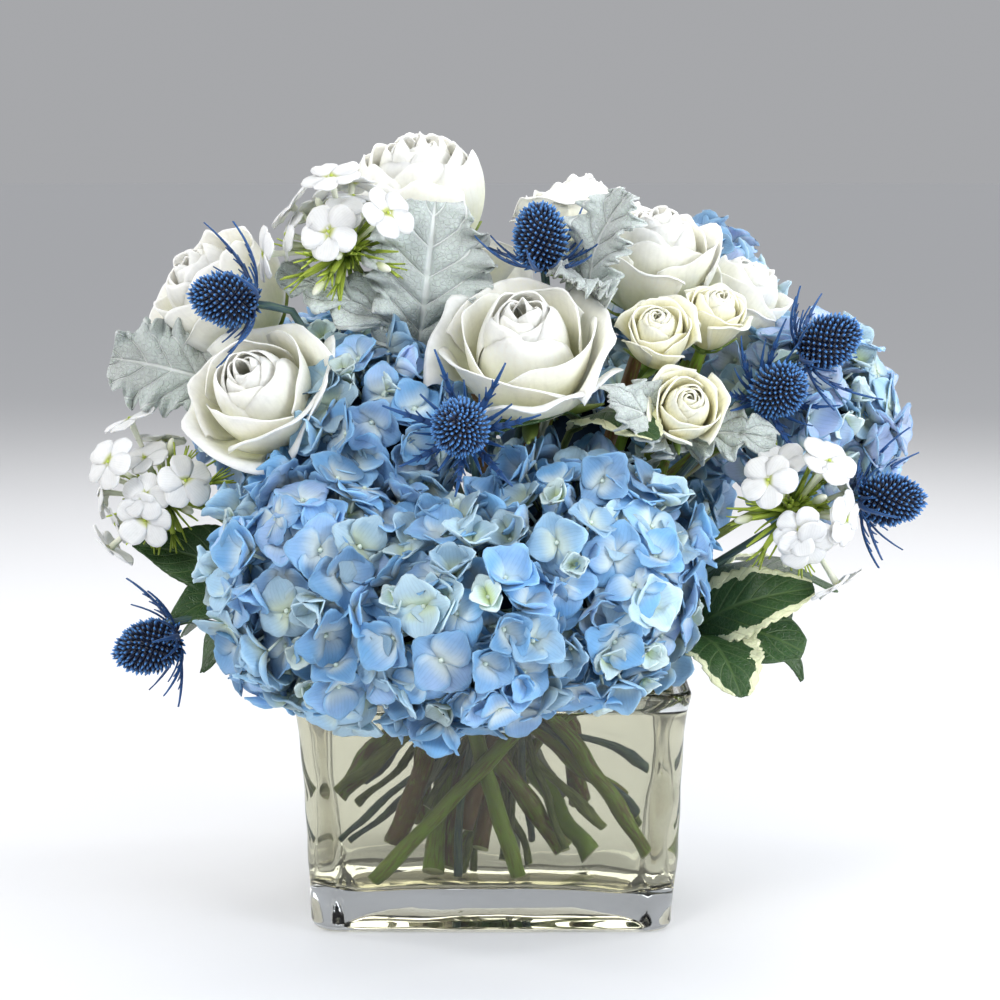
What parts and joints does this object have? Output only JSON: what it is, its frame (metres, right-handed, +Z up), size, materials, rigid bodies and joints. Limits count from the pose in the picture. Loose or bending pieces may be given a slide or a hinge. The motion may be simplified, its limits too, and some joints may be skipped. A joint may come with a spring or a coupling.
{
  "type": "hydrangea bouquet in a vase",
  "caption": "Low rounded bouquet of cut flowers and leaves standing in water in a clear, thick-walled rectangular glass vase.",
  "frame": {"origin": "middle of the vase's flat foot, on the surface that it stands on", "axes": "+Z up; -Y towards the front that the picture shows; +X to the right of that front"},
  "size_m": [0.3626, 0.298, 0.3487],
  "materials": {
    "glass": "polished clear",
    "water": "clear",
    "hydrangea_petals": "satin",
    "rose_petals": "satin",
    "spray_rose_petals": "satin",
    "thistle_head": "matt",
    "phlox_petals": "satin",
    "silver_leaf": "felted",
    "green_leaf": "satin",
    "stem": "satin"
  },
  "bodies": {
    "root": {"dusty_miller_centre": "silver_leaf", "dusty_miller_left": "silver_leaf", "dusty_miller_right": "silver_leaf", "dusty_miller_top": "silver_leaf", "hydrangea_back_left": "hydrangea_petals", "hydrangea_back_left_stem": "stem", "hydrangea_back_right": "hydrangea_petals", "hydrangea_back_right_stem": "stem", "hydrangea_front_left": "hydrangea_petals", "hydrangea_front_left_stem": "stem", "hydrangea_front_low": "hydrangea_petals", "hydrangea_front_low_stem": "stem", "hydrangea_front_right": "hydrangea_petals", "hydrangea_front_right_stem": "stem", "hydrangea_right": "hydrangea_petals", "hydrangea_right_stem": "stem", "hydrangea_top_left": "hydrangea_petals", "hydrangea_top_left_stem": "stem", "hydrangea_top_right": "hydrangea_petals", "hydrangea_top_right_stem": "stem", "leaves_back": "green_leaf", "leaves_back_left": "green_leaf", "leaves_back_right": "green_leaf", "leaves_left": "green_leaf", "leaves_left_low": "green_leaf", "leaves_right_low": "green_leaf", "phlox_left": "phlox_petals", "phlox_right": "phlox_petals", "phlox_top": "phlox_petals", "rose_back": "rose_petals", "rose_back_right": "rose_petals", "rose_back_right_stem": "stem", "rose_back_stem": "stem", "rose_back_top": "rose_petals", "rose_back_top_stem": "stem", "rose_front": "rose_petals", "rose_front_left": "rose_petals", "rose_front_left_stem": "stem", "rose_front_stem": "stem", "rose_left": "rose_petals", "rose_left_stem": "stem", "rose_right": "rose_petals", "rose_right_stem": "stem", "rose_top": "rose_petals", "rose_top_stem": "stem", "spray_rose_left": "spray_rose_petals", "spray_rose_low": "spray_rose_petals", "spray_rose_right": "spray_rose_petals", "spray_rose_stem": "stem", "thistle_far_right": "thistle_head", "thistle_front": "thistle_head", "thistle_left": "thistle_head", "thistle_low_left": "thistle_head", "thistle_right": "thistle_head", "thistle_top": "thistle_head", "thistle_upper_right": "thistle_head", "variegated_front": "green_leaf", "variegated_right": "green_leaf", "vase": "glass", "water": "water"}
  },
  "joints": []
}
